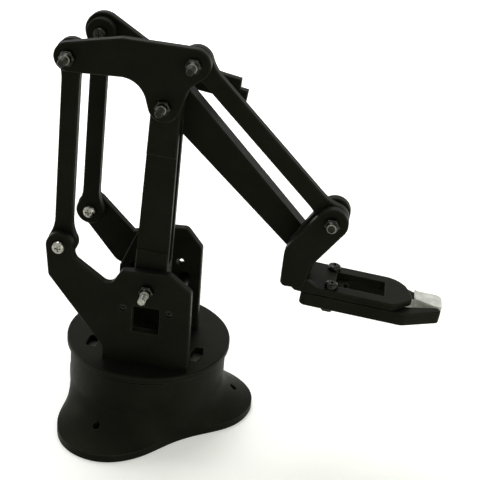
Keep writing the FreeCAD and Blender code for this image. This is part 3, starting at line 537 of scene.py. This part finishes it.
sleeve("tip_sleeve", back=SLEEVE_LENGTH, front=-SLEEVE_WALL, wall=SLEEVE_WALL, end_corner=SLEEVE_CORNER)
sleeve("tip_sleeve_lip", back=SLEEVE_LENGTH, front=SLEEVE_LENGTH - LIP_LENGTH, wall=LIP_WALL)
glare_pad()
cheek_heel()


# Table, light and camera

def showing_rays(tree):
    """1 for a ray that shows the setting, straight, in a gloss or through a clear piece, and 0 for light."""
    path = add(tree, "ShaderNodeLightPath", {}).outputs
    seen = combine(tree, "MAXIMUM", path["Is Camera Ray"], path["Is Glossy Ray"])
    return combine(tree, "MAXIMUM", seen, path["Is Transmission Ray"])


def white_paint(name):
    """Faintly clouded white, which glows more the further it lies from the arm."""
    material, tree, shader = new_material(name)
    where = object_coordinates(tree)
    cloud = noise(tree, where, scale=40.0, detail=3.0)
    away = add(tree, "ShaderNodeVectorMath", {0: where}, operation="LENGTH").outputs["Value"]
    glow = map_range(tree, away, TABLE_GLOW_REACH, TABLE_GLOW)
    feed(tree, shader, {
        "Base Color": shade(tree, cloud, span=(0.3, 0.7), low=grey(0.80), high=grey(0.83)),
        "Roughness": 0.9,
        "Emission Color": WHITE,
        "Emission Strength": combine(tree, "MULTIPLY", showing_rays(tree), glow)})
    return material


def white_table():
    mesh = bmesh.new()
    bmesh.ops.create_grid(mesh, x_segments=1, y_segments=1, size=TABLE_HALF)
    data = bpy.data.meshes.new("table")
    mesh.to_mesh(data)
    mesh.free()
    data.materials.append(white_paint("white_table"))
    table = bpy.data.objects.new("table", data)
    bpy.context.scene.collection.objects.link(table)
    table.location.z = cad_low.z - TABLE_GAP


def studio_world():
    """White all round. Its light is warm, and stronger from behind the arm than from the viewer's side."""
    world = bpy.data.worlds.new("studio")
    world.use_nodes = True
    bpy.context.scene.world = world
    tree = world.node_tree
    direction = add(tree, "ShaderNodeTexCoord", {}).outputs["Generated"]
    depth = add(tree, "ShaderNodeSeparateXYZ", {"Vector": direction}).outputs["Y"]
    light = map_range(tree, depth, WORLD_SPAN, WORLD_LIGHT)
    showing = showing_rays(tree)
    feed(tree, tree.nodes["Background"], {
        "Color": mix(tree, showing, WARM_LIGHT, WHITE),
        "Strength": combine(tree, "MAXIMUM", light, showing)})


def soft_lamp(name, place, target, size, power, colour=WHITE):
    data = bpy.data.lights.new(name, "AREA")
    data.shape = "DISK"
    data.size = size
    data.energy = power
    data.color = colour[:3]
    lamp = bpy.data.objects.new(name, data)
    bpy.context.scene.collection.objects.link(lamp)
    lamp.location = place
    lamp.rotation_euler = (Vector(target) - Vector(place)).to_track_quat("-Z", "Y").to_euler()


def picture_camera():
    data = bpy.data.cameras.new("camera")
    data.lens = CAMERA_LENS
    data.sensor_width = CAMERA_SENSOR
    data.clip_start = CAMERA_CLIP
    camera = bpy.data.objects.new("camera", data)
    bpy.context.scene.collection.objects.link(camera)
    level = Vector((sin(CAMERA_TURN), -cos(CAMERA_TURN), 0.0))
    back = cos(CAMERA_RISE) * level + Vector((0.0, 0.0, sin(CAMERA_RISE)))
    right = Vector((cos(CAMERA_TURN), sin(CAMERA_TURN), 0.0))
    up = back.cross(right)
    rolled_right = cos(CAMERA_ROLL) * right + sin(CAMERA_ROLL) * up
    rolled_up = cos(CAMERA_ROLL) * up - sin(CAMERA_ROLL) * right
    turn = Matrix((rolled_right, rolled_up, back)).transposed()
    camera.matrix_world = Matrix.Translation(CAMERA_TARGET + back * CAMERA_DISTANCE) @ turn.to_4x4()
    bpy.context.scene.camera = camera


white_table()
studio_world()
soft_lamp("top_lamp", place=(-0.15, 0.25, 0.75), target=(0.02, 0.0, 0.08), size=0.5, power=4.2)
soft_lamp("left_lamp", place=(-0.65, 0.10, 0.25), target=(0.0, 0.0, 0.08), size=0.3, power=1.2)
soft_lamp("front_lamp", place=(0.25, -0.70, 0.55), target=(0.03, 0.0, 0.08), size=0.5, power=0.15)
soft_lamp("right_lamp", place=(0.48, -0.40, 0.16), target=(0.02, 0.0, 0.07), size=0.6, power=1.6,
          colour=WARM_LIGHT)
picture_camera()
bpy.context.scene.view_settings.view_transform = "Standard"
